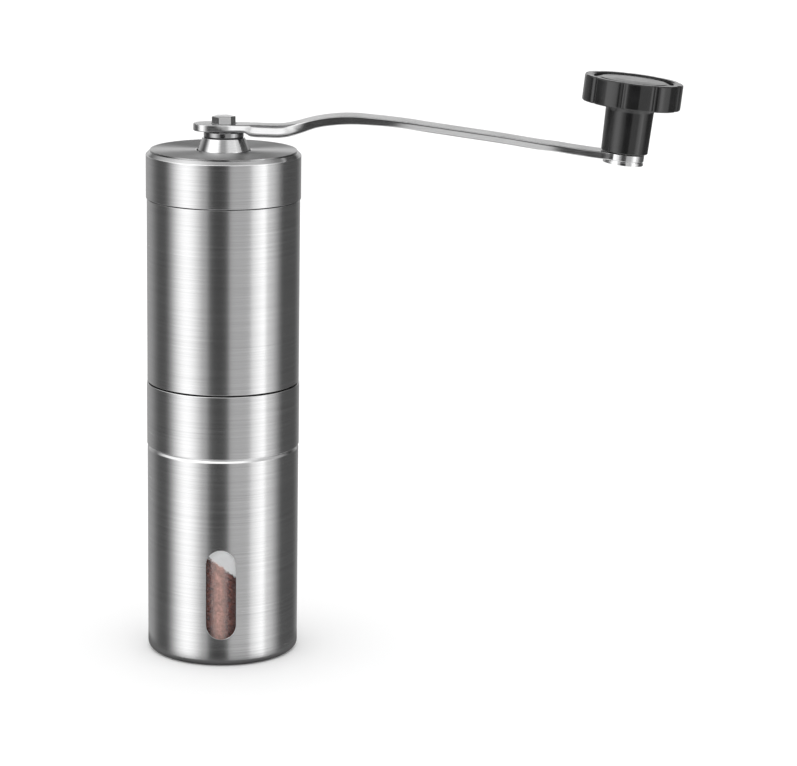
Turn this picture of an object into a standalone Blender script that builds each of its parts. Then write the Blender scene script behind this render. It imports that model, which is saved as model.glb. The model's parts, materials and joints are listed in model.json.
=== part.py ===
"""Hand crank coffee grinder, modelled as an assembly of separate pieces.

The grinder stands on its base with +Z up. The origin is the middle of the base's underside, the body's
axis is Z, the crank arm points along +X and the viewing window of the catch cup faces -Y.
All lengths below are millimetres and all angles are degrees; MM turns lengths into metres.
"""
import math

import bmesh
import bpy
from mathutils import Matrix, Vector

MM = 0.001
GAP = 0.3                     # play between neighbouring pieces

# Driving dimensions of the body
BODY_R = 25.0                 # steel tubes, outside
WALL = 0.8                    # steel sheet
LID_R = 25.3
BAND_R = 25.15
LOWER_SEAM_Z = 70.0           # catch cup meets middle band
UPPER_SEAM_Z = 91.15          # middle band meets hopper tube
LID_SEAM_Z = 152.15           # hopper tube meets lid
LID_TOP_Z = 168.0
EDGE = 0.5 * GAP              # half of the play, to each side of a seam

# Window in the catch cup
WINDOW_WIDTH = 9.8
WINDOW_LOW_Z = 9.2
WINDOW_HIGH_Z = 39.6
WINDOW_TURN = 2.1             # about Z, from -Y towards +X

# Shaft line
SHAFT_R = 3.0
THREAD_R = 2.5
SHAFT_LOW_Z = 58.5
THREAD_TOP_Z = 68.0
HUB_TOP_Z = 172.0
HUB_TOP_R = 6.9
HUB_LOW_R = 8.4                # where the flared sleeve leaves the lid
SLEEVE_R = 6.4
SLEEVE_LOW_Z = 160.0
COLLAR_R = 6.5
COLLAR_LOW_Z = 172.45
COLLAR_TOP_Z = 173.9
HEX_R = 3.87                  # across corners / 2
HEX_TURN = 10.0
STUD_TOP_Z = 178.9
RUNNING_R = SHAFT_R + GAP     # bore round the shaft

# Burr set
BURR_LOW_Z = 71.5
BURR_R = 17.9
SCREW_CIRCLE_R = 19.8
SCREW_COUNT = 3

# Crank
CRANK_LOW_Z = 174.2
CRANK_T = 2.3
EYE_R = 5.4                   # half width at the stud
EYE_X = -4.5                  # middle of the arm's round end behind the stud
ARM_HALF_WIDTH = 5.0
KNOB_X = 130.0
KNOB_Z = 167.9                # middle of the arm's thickness, on the knob's axis
KNOB_TILT = 5.8               # the knob's axis leans outwards
ARM_END_R = 6.6
# Middle height and thickness of the strip along its length, by x
ARM_LINE = ((-11.0, 175.35, 2.3), (0.0, 175.35, 2.3), (6.6, 175.35, 2.3), (9.5, 174.75, 3.6),
            (14.0, 174.6, 3.7), (19.0, 174.65, 3.7), (24.0, 175.62, 3.4), (30.0, 177.44, 2.85),
            (36.0, 178.4, 2.8), (42.0, 178.7, 2.7), (48.0, 178.4, 2.45), (54.0, 177.92, 2.3),
            (60.0, 177.26, 2.3), (66.0, 176.39, 2.3), (78.0, 174.77, 2.3), (90.0, 173.15, 2.3),
            (102.0, 171.32, 2.3), (108.0, 170.63, 2.3), (114.0, 169.73, 2.3), (121.0, 168.83, 2.3),
            (130.0, 167.9, 2.3), (139.0, 166.99, 2.3))

# Knob, measured along its own axis from the middle of the arm's thickness
STEM_R = 7.6
STEM_LOW = 1.45
HEAD_LOW = 16.8
HEAD_TOP = 25.3
HEAD_R = 15.8
HEAD_LOBE = 0.3
HEAD_LOBES = 9
HEAD_TURN = -86.0             # middle of one lobe, about the knob's axis
PIN_R = 2.6

FINE = 48                     # steps round the visible shells
PLAIN = 32
SMALL = 16


# ---------------------------------------------------------------- scene and helpers

def clear_scene():
    for obj in list(bpy.data.objects):
        bpy.data.objects.remove(obj, do_unlink=True)


def collection(name):
    group = bpy.data.collections.new(name)
    bpy.context.scene.collection.children.link(group)
    return group


def material(name, color, metallic, roughness, alpha=1.0):
    mat = bpy.data.materials.new(name)
    mat.use_nodes = True
    shader = mat.node_tree.nodes["Principled BSDF"]
    shader.inputs["Base Color"].default_value = (*color, 1.0)
    shader.inputs["Metallic"].default_value = metallic
    shader.inputs["Roughness"].default_value = roughness
    shader.inputs["Alpha"].default_value = alpha
    mat.diffuse_color = (*color, alpha)
    return mat


def add_object(name, mesh, mat):
    obj = bpy.data.objects.new(name, mesh)
    PARTS.objects.link(obj)
    if mat is not None:
        mesh.materials.append(mat)
    return obj


def as_cutter(obj):
    PARTS.objects.unlink(obj)
    CUTTERS.objects.link(obj)
    obj.hide_render = True
    obj.display_type = 'WIRE'
    return obj


def frame(name, parent=None, location=(0.0, 0.0, 0.0), tilt=0.0):
    """An empty on a joint's axis; tilt leans its Z axis towards +X."""
    empty = bpy.data.objects.new(name, None)
    PARTS.objects.link(empty)
    empty.location = Vector(location) * MM
    empty.rotation_euler = (0.0, math.radians(tilt), 0.0)
    empty.empty_display_size = 5 * MM
    empty.parent = parent
    return empty


def turned(name, profile, mat, parent=None, steps=PLAIN, ring=True):
    """A turned piece. The profile is (radius, height) pairs that run down the outer side.
    A ring's profile closes on itself; any other starts and ends on the axis."""
    mesh = bpy.data.meshes.new(name)
    verts = [(r * MM, 0.0, z * MM) for r, z in profile]
    edges = [(i, i + 1) for i in range(len(verts) - 1)]
    if ring:
        edges.append((len(verts) - 1, 0))
    mesh.from_pydata(verts, edges, [])
    obj = add_object(name, mesh, mat)
    obj.parent = parent
    screw = obj.modifiers.new("Screw", 'SCREW')
    screw.axis = 'Z'
    screw.steps = steps
    screw.render_steps = steps
    screw.use_merge_vertices = True
    screw.merge_threshold = 0.00001
    screw.use_smooth_shade = True
    return obj


def arc(center_r, center_z, radius, start, end, count=4):
    """Points on a rounded corner of a profile, by angle from the +r direction."""
    angles = [math.radians(start + (end - start) * i / count) for i in range(count + 1)]
    return [(center_r + radius * math.cos(a), center_z + radius * math.sin(a)) for a in angles]


def slab(name, outlines, low, high, mat, parent=None, bevel=0.0):
    """A flat piece: closed 2D outlines (the first is the rim, others are holes) between two heights."""
    curve = bpy.data.curves.new(name, 'CURVE')
    curve.dimensions = '2D'
    curve.fill_mode = 'BOTH'
    curve.extrude = (0.5 * (high - low) - bevel) * MM
    curve.bevel_depth = bevel * MM
    curve.offset = -bevel * MM
    curve.bevel_resolution = 1
    for outline in outlines:
        spline = curve.splines.new('POLY')
        spline.points.add(len(outline) - 1)
        for point, (x, y) in zip(spline.points, outline):
            point.co = (x * MM, y * MM, 0.0, 1.0)
        spline.use_cyclic_u = True
    source = bpy.data.objects.new(name + "_curve", curve)
    PARTS.objects.link(source)
    source.location.z = 0.5 * (low + high) * MM
    obj = mesh_from(source, name, mat)
    obj.parent = parent
    return obj


def mesh_from(source, name, mat):
    """Turns a curve object into a mesh object with welded caps and removes the curve."""
    bpy.context.view_layer.update()
    graph = bpy.context.evaluated_depsgraph_get()
    mesh = bpy.data.meshes.new_from_object(source.evaluated_get(graph))
    matrix = source.matrix_world.copy()
    bpy.data.objects.remove(source, do_unlink=True)
    mesh.transform(matrix)
    bm = bmesh.new()
    bm.from_mesh(mesh)
    bmesh.ops.remove_doubles(bm, verts=bm.verts, dist=0.00001)
    bmesh.ops.recalc_face_normals(bm, faces=bm.faces)
    bm.to_mesh(mesh)
    bm.free()
    mesh.materials.clear()
    mesh.shade_smooth()
    mesh.set_sharp_from_angle(angle=math.radians(35))
    return add_object(name, mesh, mat)


def rods(name, radius, length, places, sides=16):
    """Round rods along local Z, one at each matrix in places, as a single cutter mesh."""
    bm = bmesh.new()
    for place in places:
        bmesh.ops.create_cone(bm, cap_ends=True, segments=sides, radius1=radius * MM, radius2=radius * MM,
                              depth=length * MM, matrix=place)
    mesh = bpy.data.meshes.new(name)
    bm.to_mesh(mesh)
    bm.free()
    return add_object(name, mesh, None)


def block(name, size, center, mat=None):
    bm = bmesh.new()
    place = Matrix.Translation(Vector(center) * MM) @ Matrix.Diagonal((*(Vector(size) * MM), 1.0))
    bmesh.ops.create_cube(bm, size=1.0, matrix=place)
    mesh = bpy.data.meshes.new(name)
    bm.to_mesh(mesh)
    bm.free()
    return add_object(name, mesh, mat)


def combine(obj, other, operation='DIFFERENCE'):
    step = obj.modifiers.new(operation.title(), 'BOOLEAN')
    step.operation = operation
    step.solver = 'EXACT'
    step.object = other
    return obj


def around(count, radius, height, start=0.0):
    """Upright places evenly spaced on a circle."""
    turns = [math.radians(start + 360.0 * i / count) for i in range(count)]
    return [Matrix.Translation(Vector((radius * math.cos(a), radius * math.sin(a), height)) * MM)
            for a in turns]


def polygon(sides, radius, turn=0.0):
    angles = [math.radians(turn + 360.0 * i / sides) for i in range(sides)]
    return [(radius * math.cos(a), radius * math.sin(a)) for a in angles]


def lobed(count, radius, depth, per_lobe=4, turn=0.0):
    """A round outline with smooth lobes; turn is the middle of one lobe."""
    points = []
    for i in range(count * per_lobe):
        a = 2.0 * math.pi * i / (count * per_lobe)
        r = radius + depth * math.cos(count * a)
        a += math.radians(turn)
        points.append((r * math.cos(a), r * math.sin(a)))
    return points


def stadium(width, height, steps=10):
    """An upright slot outline with round ends, about its own middle."""
    r = 0.5 * width
    straight = 0.5 * height - r
    top = [(r * math.cos(math.pi * i / steps), straight + r * math.sin(math.pi * i / steps))
           for i in range(steps + 1)]
    return top + [(-x, -y) for x, y in top]


def smooth_line(knots, step):
    """A smooth curve through (x, z, thickness) knots (Catmull-Rom), sampled about every step."""
    ends = [knots[0]] + knots + [knots[-1]]
    points = []
    for p0, p1, p2, p3 in zip(ends, ends[1:], ends[2:], ends[3:]):
        count = max(1, round(math.dist(p1, p2) / step))
        for i in range(count):
            t = i / count
            points.append(tuple(
                0.5 * (2 * b + (c - a) * t + (2 * a - 5 * b + 4 * c - d) * t * t
                       + (3 * b - 3 * c + d - a) * t ** 3)
                for a, b, c, d in zip(p0, p1, p2, p3)))
    points.append(knots[-1])
    return points


# ---------------------------------------------------------------- catch cup

def window_plug(name, play, low_r, high_r):
    """The window's slot shape as a bar through the cup wall."""
    outline = stadium(WINDOW_WIDTH - 2 * play, WINDOW_HIGH_Z - WINDOW_LOW_Z - 2 * play)
    bar = slab(name, [outline], low_r, high_r, None)
    middle = Vector((0.0, 0.0, 0.5 * (WINDOW_LOW_Z + WINDOW_HIGH_Z))) * MM
    turn = Matrix.Rotation(math.radians(WINDOW_TURN), 4, 'Z')
    stand = Matrix.Rotation(math.radians(90), 4, 'X')
    bar.data.transform(turn @ Matrix.Translation(middle) @ stand)
    return as_cutter(bar)


def build_catch_cup(body):
    top = LOWER_SEAM_Z - EDGE
    corner = 2.1
    inner_r = BODY_R - WALL
    lip_r = 20.6
    shell = turned("lower_shell",
                   [(BODY_R - 0.3, top), (BODY_R, top - 0.3)]
                   + arc(BODY_R - corner, corner, corner, 0, -90)
                   + [(lip_r, 0.0), (lip_r, WALL)]
                   + arc(BODY_R - corner, corner, corner - WALL, -90, 0)
                   + [(inner_r, top)], STEEL, body, FINE)
    combine(shell, window_plug("window_slot", 0.0, 20.0, 30.0))

    turned("base_cap", [(0.0, 2.0), (22.0, 2.0), (22.0, WALL + GAP), (lip_r - GAP, WALL + GAP),
                        (lip_r - GAP, 0.0), (0.0, 0.0)], BLACK, body, PLAIN, ring=False)

    cup_r = inner_r - GAP
    cup_low = 2.0 + GAP
    cup_corner = 2.3
    turned("grounds_cup",
           [(0.0, cup_low + 1.6), (cup_r - 2.6, cup_low + 1.6), (cup_r - 1.6, cup_low + 2.6),
            (cup_r - 1.6, 61.8), (cup_r, 61.8)]
           + arc(cup_r - cup_corner, cup_low + cup_corner, cup_corner, 0, -90, 3)
           + [(0.0, cup_low)], CLEAR, body, PLAIN, ring=False)

    lens = turned("window_lens",
                  [(BODY_R - 0.15, 45.0), (BODY_R - 0.15, 5.0), (inner_r, 5.0), (inner_r, 45.0)],
                  CLEAR, body, FINE)
    combine(lens, window_plug("lens_outline", GAP, 20.0, 30.0), 'INTERSECT')

    turned("cup_seal", [(23.7, 63.0), (23.8, 62.6), (23.7, 62.1), (22.5, 62.1), (22.4, 62.6), (22.5, 63.0)],
           RUBBER, body, PLAIN)


# ---------------------------------------------------------------- housing

def build_shells(body):
    band_in = BAND_R - WALL
    turned("middle_band",
           [(BAND_R - 0.3, UPPER_SEAM_Z - EDGE), (BAND_R, UPPER_SEAM_Z - EDGE - 0.3),
            (BAND_R, LOWER_SEAM_Z + EDGE + 0.5), (BAND_R - 0.5, LOWER_SEAM_Z + EDGE),
            (band_in, LOWER_SEAM_Z + EDGE), (band_in, UPPER_SEAM_Z - EDGE)], STEEL, body, FINE)
    inner_r = BODY_R - WALL
    low = UPPER_SEAM_Z + EDGE
    high = LID_SEAM_Z - EDGE
    turned("hopper_shell",
           [(BODY_R, high), (BODY_R, low + 0.3), (BODY_R - 0.3, low), (inner_r, low), (inner_r, high)],
           STEEL, body, FINE)
    liner_r = inner_r - GAP
    spigot_r = 22.7
    bore_r = 21.5
    turned("hopper_liner",
           [(spigot_r - 0.4, 160.5), (spigot_r, 160.1), (spigot_r, high), (liner_r, high),
            (liner_r, UPPER_SEAM_Z - EDGE), (bore_r, UPPER_SEAM_Z - EDGE), (bore_r, 160.5)],
           BLACK, body, PLAIN)


def build_burr_housing(body):
    outer_r = BAND_R - WALL - GAP
    spigot_r = BODY_R - WALL - GAP
    shoulder = LOWER_SEAM_Z + EDGE - 0.05
    pocket_r = BURR_R + GAP
    bore_r = 21.4
    housing = turned("burr_housing",
                     [(outer_r, 90.7), (outer_r, shoulder), (spigot_r, shoulder), (spigot_r, 67.4),
                      (22.4, 67.4), (22.4, 65.6), (spigot_r, 65.6), (spigot_r, 63.9),
                      (spigot_r - 0.5, 63.4), (bore_r, 63.4), (bore_r, BURR_LOW_Z), (pocket_r, BURR_LOW_Z),
                      (pocket_r, 83.0), (14.2, 83.0), (14.2, 84.8), (20.6, 90.7)], BLACK, body, PLAIN)
    holes = rods("screw_holes", 1.2, 16.0, around(SCREW_COUNT, SCREW_CIRCLE_R, 69.5))
    combine(housing, as_cutter(holes))
    turned("spigot_ring", arc(23.2, 66.5, 0.55, 180, -120, 5), RUBBER, body, PLAIN)

    retainer = turned("burr_retainer",
                      [(21.1, 71.2), (21.1, 69.9), (16.0, 69.9), (16.0, 71.2)], BLACK, body, PLAIN)
    combine(retainer, as_cutter(rods("retainer_holes", 1.2, 4.0,
                                     around(SCREW_COUNT, SCREW_CIRCLE_R, 70.5))))
    for i, place in enumerate(around(SCREW_COUNT, SCREW_CIRCLE_R, 0.0)):
        screw = turned(f"retainer_screw_{i + 1}",
                       [(0.0, 76.5), (0.5, 76.5), (0.9, 75.9), (0.9, 69.6), (1.4, 69.6), (1.4, 68.9),
                        (1.1, 68.4), (0.0, 68.4)], BRIGHT, body, 16, ring=False)
        screw.location = place.to_translation()


def build_shaft_bridge(body):
    low = 91.0
    high = 94.9
    hub_r = 6.5
    bridge = turned("shaft_bridge",
                    [(hub_r, 100.0), (hub_r, 86.0), (5.0, 86.0), (5.0, 90.3), (3.6, 90.3), (3.6, 95.7),
                     (5.0, 95.7), (5.0, 100.0)], BLACK, body, SMALL)
    ring = turned("bridge_ring", [(21.2, high), (21.2, low), (19.5, low), (19.5, high)], None, body)
    combine(bridge, as_cutter(ring), 'UNION')
    for i in range(3):
        arm = block(f"bridge_arm_{i + 1}", (14.7, 3.0, high - low - 0.4), (13.05, 0.0, 0.5 * (low + high)))
        arm.data.transform(Matrix.Rotation(math.radians(90 + 120 * i), 4, 'Z'))
        combine(bridge, as_cutter(arm), 'UNION')
    for name, z in (("lower_bush", 86.0), ("upper_bush", 96.0)):
        turned(name, [(4.7, z + 4.0), (4.7, z), (RUNNING_R, z), (RUNNING_R, z + 4.0)], NYLON, body, SMALL)


def build_outer_burr(body):
    burr = turned("outer_burr",
                  [(BURR_R, 82.7), (BURR_R, BURR_LOW_Z), (15.2, BURR_LOW_Z), (15.2, 73.2), (13.4, 82.7)],
                  CERAMIC, body, PLAIN)
    lean = math.atan2(15.2 - 13.4, 82.7 - 73.2)
    places = [Matrix.Rotation(2 * math.pi * (i + 0.5) / 12, 4, 'Z')
              @ Matrix.Translation(Vector((14.0, 0.0, 79.4)) * MM)
              @ Matrix.Rotation(math.radians(16), 4, 'X') @ Matrix.Rotation(-lean, 4, 'Y')
              for i in range(12)]
    combine(burr, as_cutter(rods("outer_burr_grooves", 0.9, 10.0, places, 6)))


# ---------------------------------------------------------------- shaft, burr and grind setting

def build_drive(body):
    shaft = turned("drive_shaft",
                   [(0.0, 172.6), (SHAFT_R, 172.6), (SHAFT_R, 102.5), (2.3, 102.5), (2.3, 101.1),
                    (SHAFT_R, 101.1), (SHAFT_R, THREAD_TOP_Z), (THREAD_R, THREAD_TOP_Z - 0.5),
                    (THREAD_R, SHAFT_LOW_Z + 0.5), (THREAD_R - 0.5, SHAFT_LOW_Z), (0.0, SHAFT_LOW_Z)],
                   BRIGHT, body, SMALL, ring=False)
    stud = slab("stud_hex", [polygon(6, HEX_R, HEX_TURN)], HUB_TOP_Z + 0.2, STUD_TOP_Z, None, bevel=0.3)
    combine(shaft, as_cutter(stud), 'UNION')
    turned("hub_sleeve",
           [(HUB_TOP_R - 0.3, HUB_TOP_Z), (HUB_TOP_R, HUB_TOP_Z - 0.3), (HUB_LOW_R, LID_TOP_Z),
            (HUB_LOW_R, LID_TOP_Z - 0.5), (SLEEVE_R, LID_TOP_Z - 2.5), (SLEEVE_R, SLEEVE_LOW_Z),
            (RUNNING_R, SLEEVE_LOW_Z), (RUNNING_R, HUB_TOP_Z)], BRIGHT, body, PLAIN)
    turned("hub_washer",
           [(COLLAR_R - 0.2, COLLAR_TOP_Z), (COLLAR_R, COLLAR_TOP_Z - 0.2), (COLLAR_R, COLLAR_LOW_Z + 0.2),
            (COLLAR_R - 0.2, COLLAR_LOW_Z), (HEX_R + GAP, COLLAR_LOW_Z), (HEX_R + GAP, COLLAR_TOP_Z)],
           BRIGHT, body, PLAIN)
    turned("thrust_washer", [(6.0, 101.1), (6.0, 100.3), (RUNNING_R, 100.3), (RUNNING_R, 101.1)],
           BRIGHT, body, SMALL)
    clip = turned("circlip", [(4.8, 102.2), (4.8, 101.4), (2.6, 101.4), (2.6, 102.2)], BRIGHT, body, SMALL)
    combine(clip, as_cutter(block("circlip_mouth", (6.0, 3.0, 3.0), (-4.5, 0.0, 101.8))))


def build_burr(body):
    low_z = BURR_LOW_Z + 0.5
    burr = turned("inner_burr",
                  [(7.0, 84.0), (14.6, 73.2), (14.6, low_z), (5.5, low_z), (5.5, 84.0)], CERAMIC, body, PLAIN)
    slope = math.atan2(14.6 - 7.0, 84.0 - 73.2)
    places = [Matrix.Rotation(2 * math.pi * i / 7, 4, 'Z')
              @ Matrix.Translation(Vector((10.9, 0.0, 79.2)) * MM)
              @ Matrix.Rotation(math.radians(-24), 4, 'X') @ Matrix.Rotation(-slope, 4, 'Y')
              for i in range(7)]
    combine(burr, as_cutter(rods("inner_burr_grooves", 1.3, 13.0, places, 6)))
    turned("burr_carrier",
           [(5.2, 76.0), (5.2, low_z - GAP), (11.5, low_z - GAP), (12.0, low_z - GAP - 0.5), (12.0, 69.7),
            (11.5, 69.2), (RUNNING_R, 69.2), (RUNNING_R, 76.0)], BLACK, body, PLAIN)

    curve = bpy.data.curves.new("burr_spring", 'CURVE')
    curve.dimensions = '3D'
    curve.bevel_depth = 0.5 * MM
    curve.bevel_resolution = 2
    curve.use_fill_caps = True
    low, high, turns, per_turn = 76.8, 85.2, 4.0, 12
    spline = curve.splines.new('POLY')
    count = int(turns * per_turn) + 1
    spline.points.add(count - 1)
    for i, point in enumerate(spline.points):
        a = 2 * math.pi * i / per_turn
        point.co = (4.25 * MM * math.cos(a), 4.25 * MM * math.sin(a),
                    (low + (high - low) * i / (count - 1)) * MM, 1.0)
    coil = bpy.data.objects.new("burr_spring_curve", curve)
    PARTS.objects.link(coil)
    mesh_from(coil, "burr_spring", BRIGHT).parent = body


def build_adjuster(body):
    slab("adjuster_wheel", [lobed(12, 9.6, 0.5), polygon(SMALL, 4.5)], 60.8, 67.6, BLACK, body)
    turned("adjuster_nut", [(4.2, 67.4), (4.2, 61.0), (THREAD_R + GAP, 61.0), (THREAD_R + GAP, 67.4)],
           BRASS, body, SMALL)
    slab("detent_washer", [lobed(18, 8.1, 0.2, 2), polygon(SMALL, RUNNING_R)], 67.9, 68.9, BRIGHT, body)


# ---------------------------------------------------------------- crank and knob

def build_crank(body, knob_frame):
    line = smooth_line(list(ARM_LINE), 3.4)
    upper = []
    lower = []
    for before, here, after in zip([line[0]] + line[:-1], line, line[1:] + [line[-1]]):
        along = Vector((after[0] - before[0], after[1] - before[1])).normalized()
        offset = Vector((-along.y, along.x)) * 0.5 * here[2]
        upper.append(tuple(Vector(here[:2]) + offset))
        lower.append(tuple(Vector(here[:2]) - offset))
    arm = slab("crank_arm", [upper + lower[::-1]], -EYE_R - 2.0, EYE_R + 2.0, BRIGHT, body)
    arm.data.transform(Matrix.Rotation(math.radians(90), 4, 'X'))

    eye = [(EYE_X + EYE_R * math.cos(math.radians(a)), EYE_R * math.sin(math.radians(a)))
           for a in range(90, 271, 15)]
    end = [(KNOB_X + ARM_END_R * math.cos(math.radians(a)), ARM_END_R * math.sin(math.radians(a)))
           for a in range(-105, 106, 15)]
    plan = eye + [(0.0, -EYE_R), (16.0, -ARM_HALF_WIDTH), (KNOB_X - 16.0, -ARM_HALF_WIDTH)] + end
    plan += [(KNOB_X - 16.0, ARM_HALF_WIDTH), (16.0, ARM_HALF_WIDTH), (0.0, EYE_R)]
    outline = slab("crank_plan", [plan], 150.0, 190.0, None)
    combine(arm, as_cutter(outline), 'INTERSECT')
    eye_hole = slab("crank_hex", [polygon(6, HEX_R + 0.4, HEX_TURN)], 170.0, 182.0, None)
    combine(arm, as_cutter(eye_hole))
    pin_hole = rods("pin_hole", PIN_R + GAP, 12.0, [Matrix.Identity(4)], 24)
    pin_hole.parent = knob_frame
    combine(arm, as_cutter(pin_hole))

    half_t = 0.5 * CRANK_T
    turned("knob_pin",
           [(0.0, 20.9), (4.0, 20.9), (4.5, 20.4), (4.5, 19.3), (PIN_R, 19.3), (PIN_R, -half_t - GAP),
            (6.4, -half_t - GAP), (6.6, -half_t - GAP - 0.2), (6.6, -2.15), (6.2, -2.45), (0.0, -2.45)],
           BRIGHT, knob_frame, PLAIN, ring=False)
    turned("pin_washer", [(5.0, 2.3), (5.0, STEM_LOW), (PIN_R + GAP, STEM_LOW), (PIN_R + GAP, 2.3)],
           NYLON, knob_frame, SMALL)


def build_knob(body):
    grip = slab("knob_grip", [lobed(HEAD_LOBES, HEAD_R, HEAD_LOBE, 8, HEAD_TURN)], HEAD_LOW, HEAD_TOP, BLACK, body, 0.5)
    stem = turned("knob_stem",
                  [(0.0, HEAD_LOW + 1.0), (STEM_R + 1.0, HEAD_LOW + 1.0), (STEM_R + 0.3, HEAD_LOW - 1.0), (STEM_R, STEM_LOW + 0.3), (STEM_R - 0.3, STEM_LOW),
                   (0.0, STEM_LOW)], None, body, PLAIN, ring=False)
    combine(grip, as_cutter(stem), 'UNION')
    bore_r = PIN_R + GAP
    bore = turned("knob_bore",
                  [(0.0, 27.0), (13.0, 27.0), (13.0, 23.2), (8.0, 23.2), (8.0, 19.0), (bore_r, 19.0),
                   (bore_r, 2.6), (5.3, 2.6), (5.3, 0.5), (0.0, 0.5)], None, body, PLAIN, ring=False)
    combine(grip, as_cutter(bore))
    turned("knob_cap",
           [(0.0, 25.3), (10.0, 25.15), (12.2, 24.9), (12.7, 24.5), (12.7, 23.5), (7.5, 23.5), (7.5, 22.0),
            (6.5, 22.0), (6.5, 23.5), (0.0, 23.5)], BLACK, body, PLAIN, ring=False)


# ---------------------------------------------------------------- lid

def build_lid(body):
    low = LID_SEAM_Z + EDGE
    hole_r = 8.8
    in_r = LID_R - WALL
    turned("lid_shell",
           [(hole_r, LID_TOP_Z), (LID_R - 1.5, LID_TOP_Z), (LID_R, LID_TOP_Z - 1.5), (LID_R, low + 0.2),
            (LID_R - 0.2, low), (in_r, low), (in_r, LID_TOP_Z - 2.0), (in_r - 0.8, LID_TOP_Z - 1.2),
            (hole_r, LID_TOP_Z - 1.2)], STEEL, body, FINE)
    liner_r = in_r - GAP
    turned("lid_liner",
           [(hole_r + 0.8, 166.5), (liner_r - 0.9, 166.5), (liner_r, 165.6), (liner_r, low + 0.3),
            (liner_r - 1.2, low + 0.3), (liner_r - 1.2, 165.3), (hole_r + 0.8, 165.3)], BLACK, body, PLAIN)


clear_scene()
PARTS = collection("hand_crank_coffee_grinder")
CUTTERS = collection("cutters")

STEEL = material("brushed_steel", (0.62, 0.62, 0.63), 1.0, 0.32)
BRIGHT = material("bright_steel", (0.72, 0.72, 0.73), 1.0, 0.18)
BLACK = material("black_plastic", (0.02, 0.02, 0.02), 0.0, 0.35)
CLEAR = material("clear_plastic", (0.85, 0.86, 0.87), 0.0, 0.08, 0.35)
CERAMIC = material("ceramic", (0.85, 0.83, 0.79), 0.0, 0.5)
NYLON = material("white_nylon", (0.78, 0.77, 0.73), 0.0, 0.45)
BRASS = material("brass", (0.72, 0.53, 0.24), 1.0, 0.3)
RUBBER = material("silicone", (0.05, 0.05, 0.05), 0.0, 0.7)

cup = frame("catch_cup_frame")
housing = frame("housing_frame", cup)
drive = frame("drive_frame", housing)
burr = frame("burr_frame", drive)
adjuster = frame("adjuster_frame", burr)
crank = frame("crank_frame", drive)
knob = frame("knob_frame", crank, (KNOB_X, 0.0, KNOB_Z), KNOB_TILT)
lid = frame("lid_frame", housing)

build_catch_cup(cup)
build_shells(housing)
build_burr_housing(housing)
build_shaft_bridge(housing)
build_outer_burr(housing)
build_drive(drive)
build_burr(burr)
build_adjuster(adjuster)
build_crank(crank, knob)
build_knob(knob)
build_lid(lid)
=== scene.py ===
import json
import math
import random

import bmesh
import bpy
from mathutils import Matrix, Vector, noise


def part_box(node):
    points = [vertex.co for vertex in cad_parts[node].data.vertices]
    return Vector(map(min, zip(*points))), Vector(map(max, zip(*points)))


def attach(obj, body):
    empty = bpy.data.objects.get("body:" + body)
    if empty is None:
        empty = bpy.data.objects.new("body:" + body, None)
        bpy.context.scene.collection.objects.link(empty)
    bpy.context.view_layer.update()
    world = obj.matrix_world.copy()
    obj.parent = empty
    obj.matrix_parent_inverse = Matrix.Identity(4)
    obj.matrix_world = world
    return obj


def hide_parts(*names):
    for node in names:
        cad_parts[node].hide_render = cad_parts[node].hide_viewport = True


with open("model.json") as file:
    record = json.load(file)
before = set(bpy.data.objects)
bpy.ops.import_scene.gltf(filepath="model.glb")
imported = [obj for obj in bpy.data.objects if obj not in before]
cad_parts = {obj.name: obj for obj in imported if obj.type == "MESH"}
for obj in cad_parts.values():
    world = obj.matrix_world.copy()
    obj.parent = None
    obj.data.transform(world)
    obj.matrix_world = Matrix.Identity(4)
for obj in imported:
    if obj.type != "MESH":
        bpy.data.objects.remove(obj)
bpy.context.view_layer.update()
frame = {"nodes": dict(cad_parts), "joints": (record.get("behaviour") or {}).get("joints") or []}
NODES = frame["nodes"]

# A hand crank coffee grinder. Lengths in this script are millimetres, and MM turns them into metres; the
# camera, the floor and the materials' noise are in metres.
MM = 0.001
ROUND = 256                    # segments round the large turned pieces
MEDIUM = 128
SMALL = 64


# ---------------------------------------------------------------- sizes read from the frame

def node_box(node):
    """A node's lowest and highest corners in millimetres."""
    low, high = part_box(node)
    return Vector(low) / MM, Vector(high) / MM


def levels(node):
    """A node's lowest and highest Z in millimetres."""
    low, high = node_box(node)
    return low.z, high.z


def outer_radius(node):
    low, high = node_box(node)
    return 0.5 * (high.y - low.y)


def joint(name):
    return next(j for j in frame["joints"] if j["name"] == name)


SHELL_LOW, SHELL_HIGH = levels("lower_shell")
BAND_LOW, BAND_HIGH = levels("middle_band")
TUBE_LOW, TUBE_HIGH = levels("hopper_shell")
LID_LOW, LID_HIGH = levels("lid_shell")
BODY_R = outer_radius("hopper_shell")
BAND_R = outer_radius("middle_band")
LID_R = outer_radius("lid_shell")
WALL = 0.8                     # the steel shells
GAP = 0.3                      # between pieces that touch

PANE_LOW, PANE_HIGH = node_box("window_lens")
SLOT_WIDTH = 9.8
SLOT_HEIGHT = PANE_HIGH.z - PANE_LOW.z + 2 * GAP
SLOT_Z = 0.5 * (PANE_HIGH.z + PANE_LOW.z)
SLOT_TURN = math.radians(2.1)

KNOB_PIVOT = Vector(joint("knob_spin")["pos_m"]) / MM
KNOB_AXIS = Vector(joint("knob_spin")["axis"]).normalized()
KNOB_TILT = math.atan2(KNOB_AXIS.x, KNOB_AXIS.z)
KNOB_PLACE = Matrix.Translation(KNOB_PIVOT) @ Matrix.Rotation(KNOB_TILT, 4, 'Y')

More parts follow.
